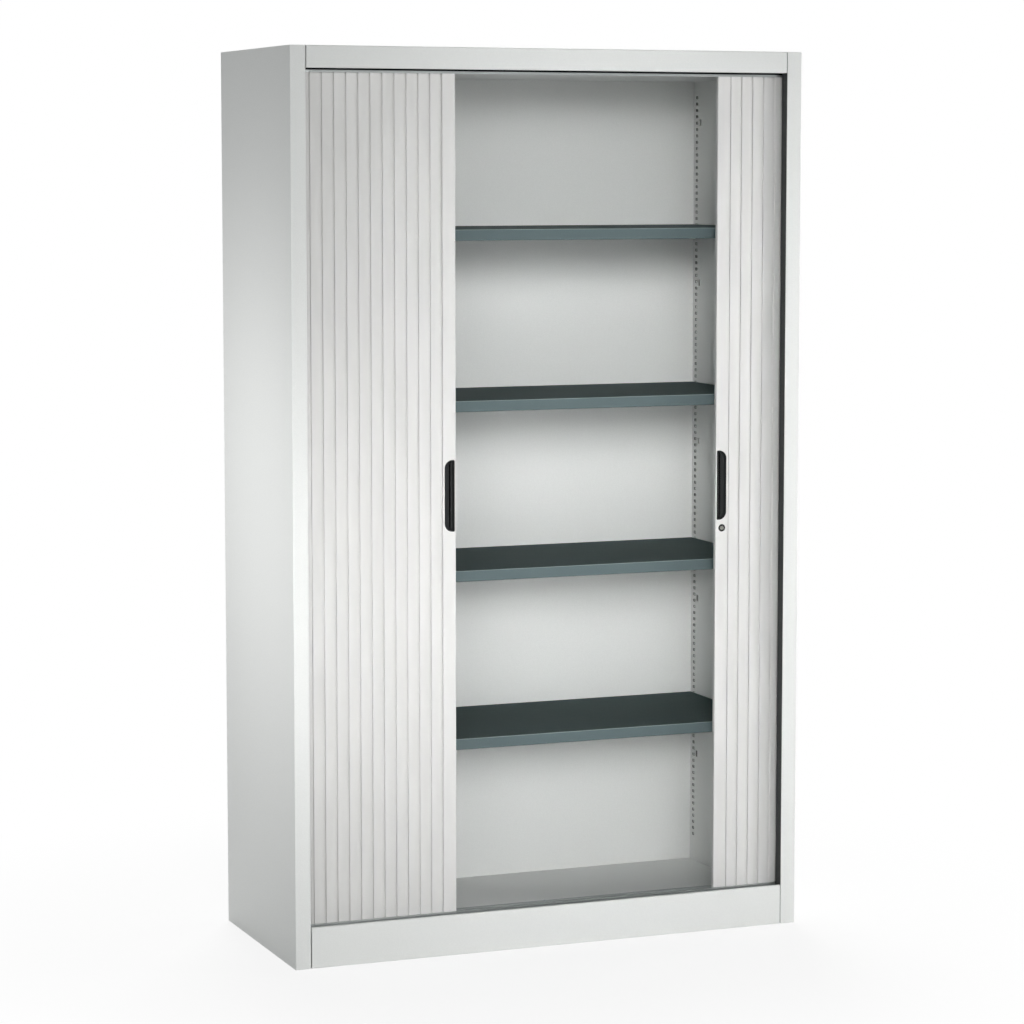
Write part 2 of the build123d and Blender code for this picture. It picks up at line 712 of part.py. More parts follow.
def shelf_clip(y, hole):
    """Left clip: a plate on the liner, a hook through the hole and a tab under the shelf."""
    half = CLIP_WIDTH / 2
    tab_top = hole + CLIP_RISE - SHELF_SIDE_FOLD
    tab_low = tab_top - CLIP_SHEET
    wall = -LINER_X
    plate = block((wall, y - half, tab_low), (wall + CLIP_SHEET, y + half, hole + CLIP_ABOVE_HOLE))
    tab = block((wall, y - half, tab_low), (wall + CLIP_TAB, y + half, tab_top))
    hook_half = HOLE_LENGTH / 2 - CLIP_HOOK_FIT
    hook_height = HOLE_HEIGHT / 2 - CLIP_HOOK_FIT
    out = wall - SHEET - CLIP_HOOK_DEPTH
    hook = block(
        (out, y - hook_half, hole - hook_height), (wall + SHEET, y + hook_half, hole + hook_height)
    )
    toe = block(
        (out, y - hook_half, hole - HOLE_HEIGHT), (wall - SHEET - TOUCH, y + hook_half, hole)
    )
    return plate + tab + hook + toe


def shelf_clips():
    """All clips, four under each shelf."""
    left = [shelf_clip(y, hole) for hole in SHELF_HOLES for y in (FRONT_HOLES_Y, BACK_HOLES_Y)]
    return left + [flipped(clip) for clip in left]


# Build ---------------------------------------------------------------------------------------


def build_carcass():
    save("side_panel_left", side_panel())
    save("side_panel_right", flipped(side_panel()))
    save("top_panel", top_panel())
    save("plinth_front", plinth_front())
    save("back_panel", back_panel())
    save("floor_tray", floor_tray())
    save("ceiling_tray", ceiling_tray())
    wall = liner()
    save("liner_left", wall)
    save("liner_right", flipped(wall))
    save("front_track_bottom", front_track())
    save("front_track_top", overhead(front_track()))
    channel = side_track()
    save("side_track_bottom_left", channel)
    save("side_track_bottom_right", flipped(channel))
    save("side_track_top_left", overhead(channel))
    save("side_track_top_right", flipped(overhead(channel)))
    save("track_screws", *track_screws())
    save("stop_buffers", *stop_buffers())
    for i, hole in enumerate(SHELF_HOLES):
        save(f"shelf_{i + 1}", shelf(hole + CLIP_RISE))
    save("shelf_clips", *shelf_clips())


def build_stored_slats(face):
    corner = corner_slats(face)
    save("corner_slats_left", *corner)
    save("corner_slats_right", *[flipped(s) for s in corner])
    save("stored_slats_left", *stored_slats(face, FRONT_SLATS - LEFT_SLAT_COUNT))
    right = stored_slats(face, FRONT_SLATS - RIGHT_SLAT_COUNT)
    save("stored_slats_right", *[flipped(s) for s in right])


def build_curtain(face, side, shown, place):
    """The slats that show along the front, the lead bar, its shoes and its grip."""
    for i, piece in enumerate(left_slats(face, 0, shown)):
        save(f"slat_{side}_{i + 1:02d}", place(piece))
    edge = Pos(-CORNER_X + PITCH * shown + LEAD_WIDTH, RUN_Y, 0)
    save(f"grip_{side}", place(edge * grip()))
    save(f"lead_shoes_{side}", *[place(edge * s) for s in lead_shoes()])
    return edge


def build_left_curtain(face):
    edge = build_curtain(face, "left", LEFT_SLAT_COUNT, lambda piece: piece)
    save("lead_bar_left", edge * lead_bar())
    save("lock_keeper", edge * lock_keeper())


def build_right_curtain(face):
    edge = build_curtain(face, "right", RIGHT_SLAT_COUNT, flipped)
    bored = lead_bar() - lock_round(LOCK_BARREL, -2 * SLAT_CROWN, 2 * LEAD_BACK)
    save("lead_bar_right", flipped(edge * bored))
    save("lock_housing", flipped(edge * lock_housing()))
    save("lock_plug", flipped(edge * lock_plug()))
    save("lock_cam", flipped(edge * lock_cam()))
    save("cam_screw", flipped(edge * cam_screw()))


os.makedirs("parts", exist_ok=True)
section = slat_face()
build_carcass()
build_stored_slats(section)
build_left_curtain(section)
build_right_curtain(section)
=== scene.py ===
import json
from math import cos, pi, radians, sin, tau

import bmesh
import bpy
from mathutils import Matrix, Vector


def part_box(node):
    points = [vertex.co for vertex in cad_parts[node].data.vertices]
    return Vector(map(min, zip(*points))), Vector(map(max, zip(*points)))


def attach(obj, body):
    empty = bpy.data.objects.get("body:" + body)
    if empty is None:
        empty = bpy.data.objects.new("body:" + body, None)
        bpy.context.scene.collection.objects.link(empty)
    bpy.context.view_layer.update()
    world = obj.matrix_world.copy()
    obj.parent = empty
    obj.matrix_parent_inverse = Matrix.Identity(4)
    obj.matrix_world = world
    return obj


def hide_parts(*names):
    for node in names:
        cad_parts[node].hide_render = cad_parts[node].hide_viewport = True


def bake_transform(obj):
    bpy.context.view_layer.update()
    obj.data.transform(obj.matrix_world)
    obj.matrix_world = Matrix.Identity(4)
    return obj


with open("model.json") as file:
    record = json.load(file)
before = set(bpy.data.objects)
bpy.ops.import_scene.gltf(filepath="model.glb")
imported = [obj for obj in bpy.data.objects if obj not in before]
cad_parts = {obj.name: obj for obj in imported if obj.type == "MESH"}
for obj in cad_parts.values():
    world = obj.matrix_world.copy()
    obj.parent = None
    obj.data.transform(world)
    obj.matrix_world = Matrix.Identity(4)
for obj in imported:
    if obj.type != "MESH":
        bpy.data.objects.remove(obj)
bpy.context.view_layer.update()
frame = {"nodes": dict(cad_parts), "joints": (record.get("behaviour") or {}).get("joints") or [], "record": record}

# Roll-front cabinet in powder-coated sheet steel. The sheet parts, tracks, shelves and clips keep
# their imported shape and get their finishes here. The slats, grips, lock, screws and stop buffers
# are modelled again with the sloping skins, rounded edges and recesses of the real parts.
# Lengths below are in millimetres and become metres through MM; only the studio is in metres.
MM = 0.001
nodes = frame["nodes"]


# Colours and nodes ----------------------------------------------------------------------------

# A noise stays mostly between these two values, so they are drawn out to the ends of a range.
GRAIN_LOW, GRAIN_HIGH = 0.3, 0.7


def linear(hex_colour):
    """Linear RGBA of an sRGB hex colour."""
    channels = [int(hex_colour[i : i + 2], 16) / 255 for i in (1, 3, 5)]
    return [c / 12.92 if c <= 0.04045 else ((c + 0.055) / 1.055) ** 2.4 for c in channels] + [1.0]


def add_node(tree, kind, inputs=None, **settings):
    """Adds a node. Settings are its own properties; inputs are values, or sockets to link from."""
    made = tree.nodes.new(kind)
    for name, value in settings.items():
        setattr(made, name, value)
    for name, value in (inputs or {}).items():
        if isinstance(value, bpy.types.NodeSocket):
            tree.links.new(value, made.inputs[name])
        else:
            made.inputs[name].default_value = value
    return made


def empty_material(name):
    material = bpy.data.materials.new(name)
    material.use_nodes = True
    material.node_tree.nodes.clear()
    return material, material.node_tree


def grain(tree, spacing_mm, stretch=(1, 1, 1), detail=2.0):
    """Noise on the object's own coordinates whose grains lie about spacing_mm apart."""
    where = add_node(tree, "ShaderNodeTexCoord").outputs["Object"]
    scale = [s / (spacing_mm * MM) for s in stretch]
    mapped = add_node(tree, "ShaderNodeMapping", {"Vector": where, "Scale": scale})
    return add_node(
        tree, "ShaderNodeTexNoise", {"Vector": mapped.outputs[0], "Scale": 1.0, "Detail": detail}
    ).outputs["Fac"]


def mottled(tree, texture, low, high):
    """Two close hex colours that follow a texture."""
    ramp = add_node(tree, "ShaderNodeValToRGB", {"Fac": texture})
    for element, place, colour in zip(
        ramp.color_ramp.elements, (GRAIN_LOW, GRAIN_HIGH), (low, high)
    ):
        element.position = place
        element.color = linear(colour)
    return ramp.outputs["Color"]


def over(tree, mask, colour, hex_colour):
    """The colour, with another one where the mask is 1."""
    return add_node(
        tree, "ShaderNodeMix", {0: mask, 6: colour, 7: linear(hex_colour)}, data_type="RGBA"
    ).outputs[2]


def place_axes(tree):
    """Distance from the middle plane, depth and height of a point of the surface."""
    where = add_node(tree, "ShaderNodeTexCoord").outputs["Object"]
    axes = add_node(tree, "ShaderNodeSeparateXYZ", {0: where}).outputs
    sideways = add_node(tree, "ShaderNodeMath", {0: axes["X"]}, operation="ABSOLUTE").outputs[0]
    return sideways, axes["Y"], axes["Z"]


def from_nearest(tree, coordinate, first, pitch):
    """The coordinate, measured from the nearest place of a row."""
    past_first = add_node(
        tree, "ShaderNodeMath", {0: coordinate, 1: first * MM}, operation="SUBTRACT"
    ).outputs[0]
    half = pitch * MM / 2
    return add_node(
        tree, "ShaderNodeMath", {0: past_first, 1: half, 2: -half}, operation="WRAP"
    ).outputs[0]


def inside(tree, *bands):
    """1 where every coordinate lies in its band, otherwise 0.

    A band is a coordinate with its middle and its reach to both sides, in millimetres.
    """
    mask = None
    for coordinate, middle, reach in bands:
        hit = add_node(
            tree, "ShaderNodeMath", {0: coordinate, 1: middle * MM, 2: reach * MM},
            operation="COMPARE",
        ).outputs[0]
        if mask is None:
            mask = hit
        else:
            mask = add_node(
                tree, "ShaderNodeMath", {0: mask, 1: hit}, operation="MULTIPLY"
            ).outputs[0]
    return mask


def finish_surface(tree, colour, texture, roughness, swing, relief, values):
    """Surface whose gloss and relief follow one texture.

    The roughness swings to both sides of its middle, the relief is a depth in millimetres, and
    the values go on the shader's own sockets.
    """
    gloss = add_node(
        tree,
        "ShaderNodeMapRange",
        {
            "Value": texture,
            "From Min": GRAIN_LOW,
            "From Max": GRAIN_HIGH,
            "To Min": roughness - swing,
            "To Max": roughness + swing,
        },
    )
    bumps = add_node(
        tree, "ShaderNodeBump", {"Height": texture, "Distance": relief * MM, "Strength": 1.0}
    )
    shader = add_node(
        tree,
        "ShaderNodeBsdfPrincipled",
        {
            "Base Color": colour,
            "Roughness": gloss.outputs[0],
            "Normal": bumps.outputs["Normal"],
            **values,
        },
    )
    add_node(tree, "ShaderNodeOutputMaterial", {"Surface": shader.outputs[0]})


# Finishes -------------------------------------------------------------------------------------

# Black painted shade: it fills the shadow gaps and rings the liner's holes, where there is only shade.
GAP_SHADE_BLACK = "#1C2020"
# Black painted shade for the fascia's shadow on the top track.
FASCIA_SHADE_BLACK = "#17191A"

# Bands of the black painted shade in the shadow gaps, each as a middle and a reach. It runs down the inner
# edges of the stile returns, 565 from the middle plane, and over the joints of the fascia and the plinth.
GAP_SHADE_SIDEWAYS = (564.4, 0.9)
GAP_SHADE_DEPTH = (-235.0, 13.2)
GAP_SHADE_HEIGHT = (990.0, 988.5)

# The liner's holes and slots: rows in depth, steps in height, and the reach of the black painted shade round each
# opening, a little past its edge.
LINER_SHEET = (563.5, 0.8)
HOLE_ROWS = (-121.0, 220.0)
HOLE_FIRST, HOLE_LAST, HOLE_PITCH = 118.0, 1888.0, 15.0
HOLE_REACH_DEPTH, HOLE_REACH_HEIGHT = 5.2, 3.2
HOLES_HEIGHT = ((HOLE_FIRST + HOLE_LAST) / 2, (HOLE_LAST - HOLE_FIRST) / 2 + 4)
SLOT_DEPTH = (-105.0, 5.6)
SLOT_FIRST, SLOT_PITCH = 317.0, 378.0
SLOT_REACH_HEIGHT = 8.1

# How far a face of a shelf looks up, which picks the faces with painted shade and painted highlight: 1 is level.
# The rounded front fold looks up less.
LEVEL_FACE = 0.95
FOLD_FACE, FOLD_REACH = 0.6, 0.3

# A band of black painted shade for the fascia's shadow on the top track starts at the lower edge of the fascia and
# is this high.
FASCIA_SHADE_FOOT = 1929.3
FASCIA_SHADE_HEIGHT = 10.0


def painted_gap_and_hole_shade(tree):
    """1 where black shade is painted: in the shadow gaps of the stile returns and frame joints, and round the
    liner's holes and slots.
    """
    sideways, depth, height = place_axes(tree)
    masks = [
        inside(
            tree,
            (sideways, *GAP_SHADE_SIDEWAYS),
            (depth, *GAP_SHADE_DEPTH),
            (height, *GAP_SHADE_HEIGHT),
        )
    ]
    from_hole = from_nearest(tree, height, HOLE_FIRST, HOLE_PITCH)
    for row in HOLE_ROWS:
        masks.append(
            inside(
                tree,
                (sideways, *LINER_SHEET),
                (depth, row, HOLE_REACH_DEPTH),
                (from_hole, 0.0, HOLE_REACH_HEIGHT),
                (height, *HOLES_HEIGHT),
            )
        )
    from_slot = from_nearest(tree, height, SLOT_FIRST, SLOT_PITCH)
    masks.append(
        inside(
            tree,
            (sideways, *LINER_SHEET),
            (depth, *SLOT_DEPTH),
            (from_slot, 0.0, SLOT_REACH_HEIGHT),
        )
    )
    dark = masks[0]
    for mask in masks[1:]:
        dark = add_node(
            tree, "ShaderNodeMath", {0: dark, 1: mask}, operation="MAXIMUM"
        ).outputs[0]
    return dark


def shelf_top_shade_and_fold_highlight(tree, film):
    """The coat with painted shade that darkens the level tops, and a pale painted highlight over the front fold.
    """
    facing = add_node(tree, "ShaderNodeTexCoord").outputs["Normal"]
    upwards = add_node(tree, "ShaderNodeSeparateXYZ", {0: facing}).outputs["Z"]
    top = add_node(
        tree, "ShaderNodeMath", {0: upwards, 1: LEVEL_FACE}, operation="GREATER_THAN"
    ).outputs[0]
    fold = add_node(
        tree, "ShaderNodeMath", {0: upwards, 1: FOLD_FACE, 2: FOLD_REACH}, operation="COMPARE"
    ).outputs[0]
    return over(tree, fold, over(tree, top, film, "#445251"), "#8F9B9C")


def powder_coat(name, low, high, roughness, sheen_level, gap_shade=False, painted_top_and_fold=False):
    """Polyester powder coat: an even satin film whose orange peel breaks up the highlights.

    The peel of the real film lies 2 to 3 mm apart. A finer speckle of flow marks goes with it.
    A matt film reflects less at a low angle than a satin one: its sheen level is lower.
    """
    material, tree = empty_material(name)
    peel = grain(tree, 2.6)
    film = mottled(tree, grain(tree, 1.1), low, high)
    # Black painted shade in the shadow gaps and round the liner's holes.
    if gap_shade:
        film = over(tree, painted_gap_and_hole_shade(tree), film, GAP_SHADE_BLACK)
    # Painted shade on the shelf tops and a painted highlight on the front fold.
    if painted_top_and_fold:
        film = shelf_top_shade_and_fold_highlight(tree, film)
    finish_surface(
        tree, film, peel, roughness, swing=0.04, relief=0.10,
        values={"IOR": 1.5, "Specular IOR Level": sheen_level},
    )
    return material


def extruded_plastic(name, low, high):
    """Rigid PVC profile: satin, with the faint die lines that run along an extrusion.

    Real die lines are finer than a millimetre, so they are drawn 1.2 mm apart to show.
    """
    material, tree = empty_material(name)
    colour = mottled(tree, grain(tree, 30, stretch=(1, 1, 0.2)), low, high)
    lines = grain(tree, 1.2, stretch=(1, 1, 0.004))
    finish_surface(
        tree, colour, lines, roughness=0.40, swing=0.04, relief=0.03, values={"IOR": 1.53}
    )
    return material


def moulded_plastic(name, low, high, roughness, texture_mm, sheen_level=0.5):
    """Moulded plastic or rubber with the sparked grain of its tool, drawn a little coarse."""
    material, tree = empty_material(name)
    spark = grain(tree, texture_mm, detail=4)
    finish_surface(
        tree, mottled(tree, spark, low, high), spark, roughness, swing=0.06, relief=0.05,
        values={"IOR": 1.54, "Specular IOR Level": sheen_level},
    )
    return material


def bare_metal(name, low, high, roughness, spacing_mm, stretch=(1, 1, 1), fascia_shade_foot=None):
    """Plated or drawn metal: mirror-like under a grain that follows how it was worked."""
    material, tree = empty_material(name)
    worked = grain(tree, spacing_mm, stretch)
    colour = mottled(tree, worked, low, high)
    # A band of black painted shade for the fascia's shadow; film here is the mask of that band.
    if fascia_shade_foot:
        _, _, height = place_axes(tree)
        film = inside(tree, (height, fascia_shade_foot + FASCIA_SHADE_HEIGHT / 2, FASCIA_SHADE_HEIGHT / 2))
        colour = over(tree, film, colour, FASCIA_SHADE_BLACK)
    finish_surface(
        tree, colour, worked, roughness, swing=0.06, relief=0.02, values={"Metallic": 1.0}
    )
    return material


# Light grey satin powder coat, nearly white, and an anthracite one that is matt.
# The light grey coat carries black painted shade in its shadow gaps and round the liner's holes.
carcass_coat = powder_coat(
    "powder_coat_light_grey", "#E2E3E1", "#EAEBE9", 0.42, 0.35, gap_shade=True
)
# The anthracite coat carries painted shade on the shelf tops and a painted highlight on the front folds.
shelf_coat = powder_coat(
    "powder_coat_anthracite", "#566364", "#606D6F", 0.6, 0.03, painted_top_and_fold=True
)
# Rigid PVC in a warmer light grey than the coat.
slat_plastic = extruded_plastic("pvc_profile_light_grey", "#D4D3D1", "#DAD9D7")
# Sparked ABS: a dull black that swallows highlights.
grip_plastic = moulded_plastic("abs_sparked_black", "#0E1111", "#151818", 0.62, 0.7, 0.25)
# Acetal: a slippery, slightly shiny black.
shoe_plastic = moulded_plastic("acetal_black", "#191B1C", "#1F2122", 0.38, 1.2)
# Gloss enamel on the turned rose: black with a sharp highlight.
rose_plastic = moulded_plastic("black_gloss_enamel", "#0E1010", "#131515", 0.22, 1.5)
# EPDM rubber: a soft, dry black.
buffer_rubber = moulded_plastic("epdm_rubber_black", "#1C1C1C", "#242424", 0.72, 0.9)
# Anodised aluminium, drawn along X: dull grey, with die lines a fraction of a millimetre apart.
# The part of the top track that stands behind the fascia carries a band of black painted shade, for the fascia's
# shadow.
track_metal = bare_metal(
    "aluminium_anodised", "#A4A8A8", "#B6BABA", 0.45, 1.0, (0.01, 1, 1), FASCIA_SHADE_FOOT
)
# Zinc plating: bright grey with a fine crystalline mottle.
zinc = bare_metal("zinc_plated_steel", "#AEB3B6", "#C4C8CA", 0.34, 1.6)
# Nickel on the turned brass plug: warm white, nearly polished.
nickel = bare_metal("nickel_plated_brass", "#8E8D89", "#9C9B97", 0.28, 0.8)

FINISHES = {
    "carcass_enamel": carcass_coat,
    "shelf_enamel": shelf_coat,
    "curtain_vinyl": slat_plastic,
    "grip_plastic": grip_plastic,
    "guide_plastic": shoe_plastic,
    "track_aluminium": track_metal,
    "plated_steel": zinc,
    "lock_nickel": nickel,
    "lock_black": rose_plastic,
    "buffer_rubber": buffer_rubber,
}
for part in frame["record"]["subparts"]:
    solid = nodes[part["node"]]
    if not solid.material_slots:
        solid.data.materials.append(None)
    for material_slot in solid.material_slots:
        material_slot.material = FINISHES[part["material_slot"]]


# Mesh tools -----------------------------------------------------------------------------------


def new_object(name, bm):
    """Object in the scene from a bmesh, which is used up."""
    mesh = bpy.data.meshes.new(name)
    bm.to_mesh(mesh)
    bm.free()
    made = bpy.data.objects.new(name, mesh)
    bpy.context.scene.collection.objects.link(made)
    return made


def finish_piece(bm, name, slot, body, stands_for=(), crease=35):
    """Turns a bmesh in millimetres into a piece that rides on a body."""
    bmesh.ops.remove_doubles(bm, verts=bm.verts, dist=0.001)
    bmesh.ops.recalc_face_normals(bm, faces=bm.faces)
    bmesh.ops.scale(bm, vec=(MM, MM, MM), verts=bm.verts)
    for face in bm.faces:
        face.smooth = True
    piece = new_object(name, bm)
    piece.data.set_sharp_from_angle(angle=radians(crease))
    piece.data.materials.append(FINISHES[slot])
    if body:
        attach(piece, body)
    if stands_for:
        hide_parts(*stands_for)
    return piece


def corners(node):
    """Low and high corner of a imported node, in millimetres."""
    return [[c / MM for c in corner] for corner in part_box(node)]


def middle(low, high):
    return [(a + b) / 2 for a, b in zip(low, high)]


def vertices_of(geometry):
    return [g for g in geometry if isinstance(g, bmesh.types.BMVert)]


def edges_between(geometry, vertices):
    """The edges of an operator's result whose ends are both among the vertices."""
    return [
        g for g in geometry
        if isinstance(g, bmesh.types.BMEdge) and all(v in vertices for v in g.verts)
    ]


def polygon(bm, points):
    """Face through a few corners."""
    return bm.faces.new([bm.verts.new(p) for p in points])


def raised(bm, face, height):
    """Extrudes a face upwards into a closed prism."""
    grown = bmesh.ops.extrude_face_region(bm, geom=[face])["geom"]
    bmesh.ops.translate(bm, vec=(0, 0, height), verts=vertices_of(grown))


def rounded(bm, geometry, radius, segments, affect="EDGES"):
    bmesh.ops.bevel(
        bm, geom=geometry, offset=radius, segments=segments, affect=affect, profile=0.5,
        material=-1,
    )


def mirrored(bm):
    """The right curtain's pieces are drawn as the left one's."""
    bmesh.ops.scale(bm, vec=(-1, 1, 1), verts=bm.verts)


def block(bm, size, centre):
    """Box of a size in X, Y and Z; gives its corners."""
    box = bmesh.ops.create_cube(bm, size=1.0)["verts"]
    bmesh.ops.scale(bm, vec=size, verts=box)
    bmesh.ops.translate(bm, vec=centre, verts=box)
    return box


def upright(bm, foot_radius, head_radius, segments, foot, height):
    """Upright cylinder, cone or prism that stands on the height `foot`."""
    made = bmesh.ops.create_cone(
        bm, cap_ends=True, segments=segments, radius1=foot_radius, radius2=head_radius,
        depth=height,
    )["verts"]
    bmesh.ops.translate(bm, vec=(0, 0, foot + height / 2), verts=made)


def moved_copy(bm, pattern, offset):
    """Adds a copy of another bmesh, moved by an offset."""
    mesh = bpy.data.meshes.new("pattern")
    pattern.to_mesh(mesh)
    older = set(bm.verts)
    bm.from_mesh(mesh)
    bpy.data.meshes.remove(mesh)
    bmesh.ops.translate(bm, vec=offset, verts=[v for v in bm.verts if v not in older])


def turned(profile, low, high, steps):
    """Spins a closed profile of (radius, y) corners round the Y axis through a box's middle."""
    bm = bmesh.new()
    ring = [bm.verts.new((r, y, 0)) for r, y in profile]
    edges = [bm.edges.new((a, b)) for a, b in zip(ring, ring[1:] + ring[:1])]
    bmesh.ops.spin(
        bm, geom=ring + edges, cent=(0, 0, 0), axis=(0, 1, 0), angle=tau, steps=steps,
        use_merge=True,
    )
    x, _, z = middle(low, high)
    bmesh.ops.translate(bm, vec=(x, 0, z), verts=bm.verts)
    return bm


# Slats ----------------------------------------------------------------------------------------

BEAD_RADIUS = 2.2
BEAD = BEAD_RADIUS * cos(pi / 8)  # the bead's reach beyond the slat's own edge line
NECK_LENGTH, NECK_THICK = 4.0, 1.6
NECK_MIDDLE = 2.9                 # from the middle of the bead
SOCKET_INNER, SOCKET_OUTER = 2.3, 3.3
SOCKET_ANGLES = (80, 125, 170, 215, 245)
CROWN = 5.8                       # front of the skin, ahead of the joint line
SAG = 2.6                         # the skin falls back by this much towards its right edge
FALL_START = 0.15                 # share of the width, from the left, that stays flat
SLOPE_CUTS = 11
HALF_GROOVE = 0.7
EDGE_ROUND = 0.5
SKIN = 1.05
SLAT_BACK = 3.3
BODY_START = 3.7
BODY_CHAMFER = 1.6

# The following slats are smaller by this much at every face, so that they nest at rest.
NEST_LEAST, NEST_SPREAD = 0.06, 0.04

first_low, first_high = corners("slat_left_01")
second_low, _ = corners("slat_left_02")
PITCH = second_low[0] - first_low[0]
RUN_Y = first_low[1] + CROWN
SLAT_FOOT, SLAT_HEAD = first_low[2], first_high[2]


def slat_mesh(side, shrink):
    """One slat along X from its bead at the origin: sloping skin, rounded edges, body behind.

    The skin stands proud at its left edge and rolls back to its right edge on both curtains, so
    it's drawn the other way round for the right curtain, whose slats are mirrored afterwards.
    """
    bm = bmesh.new()
    left, right = HALF_GROOVE + shrink, PITCH - HALF_GROOVE - shrink
    face_y = SAG - CROWN + shrink
    under = SAG - CROWN + SKIN
    back = SLAT_BACK - shrink
    body_left, body_right = BODY_START + shrink, PITCH - BODY_START - shrink
    section = polygon(
        bm,
        [
            (left, face_y, 0), (right, face_y, 0), (right, under, 0), (right - shrink, 0, 0),
            (body_right, back, 0), (body_left + BODY_CHAMFER, back, 0),
            (body_left, back - BODY_CHAMFER, 0), (body_left, under, 0), (left, under, 0),
        ],
    )
    front = min(section.edges, key=lambda e: e.verts[0].co.y + e.verts[1].co.y)
    rounded(bm, list(front.verts), EDGE_ROUND, 3, affect="VERTICES")
    front = max(
        (e for e in bm.edges if all(abs(v.co.y - face_y) < 1e-4 for v in e.verts)),
        key=lambda e: e.calc_length(),
    )
    bmesh.ops.subdivide_edges(bm, edges=[front], cuts=SLOPE_CUTS)
    for v in bm.verts:
        if v.co.y < under - 0.01:
            across = (v.co.x - left) / (right - left)
            if side == "right":
                across = 1 - across
            fall = max(0.0, (across - FALL_START) / (1 - FALL_START))
            v.co.y -= SAG * (1 - fall * fall)
    bm.faces.ensure_lookup_table()
    raised(bm, bm.faces[0], SLAT_HEAD - SLAT_FOOT - 2 * shrink)
    bmesh.ops.translate(bm, vec=(0, 0, SLAT_FOOT + shrink), verts=bm.verts)
    return bm


def bead_and_socket(bm, shrink):
    """The interlocking edges: a round bead on its neck, and the open socket of the other edge."""
    foot = SLAT_FOOT + shrink
    height = SLAT_HEAD - SLAT_FOOT - 2 * shrink
    radius = BEAD_RADIUS - shrink
    upright(bm, radius, radius, 12, foot, height)
    block(bm, (NECK_LENGTH, NECK_THICK - 2 * shrink, height), (NECK_MIDDLE, 0, foot + height / 2))
    older = set(bm.verts)
    inner = [(SOCKET_INNER + shrink, angle) for angle in SOCKET_ANGLES]
    outer = [(SOCKET_OUTER - shrink, angle) for angle in reversed(SOCKET_ANGLES)]
    rim = polygon(bm, [(r * cos(radians(a)), r * sin(radians(a)), 0) for r, a in inner + outer])
    raised(bm, rim, height)
    socket = [v for v in bm.verts if v not in older]
    bmesh.ops.translate(bm, vec=(PITCH, 0, foot), verts=socket)


def placed_slat(name, bead_x, side, body, stands_for=(), shrink=0.0):
    """A slat with its bead at bead_x on the joint line."""
    bm = slat_mesh(side, shrink)
    bead_and_socket(bm, shrink)
    if side == "right":
        mirrored(bm)
    bmesh.ops.translate(bm, vec=(bead_x, RUN_Y, 0), verts=bm.verts)
    return finish_piece(bm, name, "curtain_vinyl", body, stands_for, crease=50)


def slat_nodes(side):
    return sorted(n for n in nodes if n.startswith(f"slat_{side}_"))


def bead_place(node, side):
    low, high = corners(node)
    return low[0] + BEAD if side == "left" else high[0] - BEAD


for side in ("left", "right"):
    for node in slat_nodes(side):
        placed_slat(f"profile_{node}", bead_place(node, side), side, f"{side}_curtain", (node,))


def share_of_travel(piece, share):
    """Looks for the place along a line where the easing t·t·(3 − 2t) from 0 to 1 reaches the share,
    and bakes the piece's transform into its mesh. The place found is not put on the piece.
    """
    low, high = 0.0, 1.0
    for _ in range(50):
        place = (low + high) / 2
        low, high = (place, high) if place * place * (3 - 2 * place) < share else (low, place)
    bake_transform(piece)


# Slats for the run behind the ones that show at rest, which come round a curtain's corner while it
# is drawn; no motion is given to them here. At rest they lie inside the first slat, each nearer to
# its size than the one before. The first of them stays with the carcass.
for joint in frame["joints"]:
    if joint["type"] != "slide":
        continue
    curtain = joint["child"]
    side = curtain.split("_")[0]
    count = round(joint["range_m"][1] / (PITCH * MM))
    first = bead_place(slat_nodes(side)[0], side)
    for i in range(count):
        follower = placed_slat(
            f"following_slat_{side}_{i + 1:02d}",
            first,
            side,
            None if i else "carcass",
            shrink=NEST_LEAST + NEST_SPREAD * (count - i) / count,
        )
        if i:
            share_of_travel(follower, i / count)


# Grips ----------------------------------------------------------------------------------------

GRIP_DEPTH = 8.0
GRIP_RIM = 1.6
RIM_PROUD = 0.4
RIM_ROUND = 0.35
FAR_CORNER, NEAR_CORNER = 18.0, 3.0
CUP_FLOOR = 1.4
WALL_SLOPE = 1.7                  # the hollow's walls lean in by this much down to its bottom
HOLLOW_ROUND = 2.2


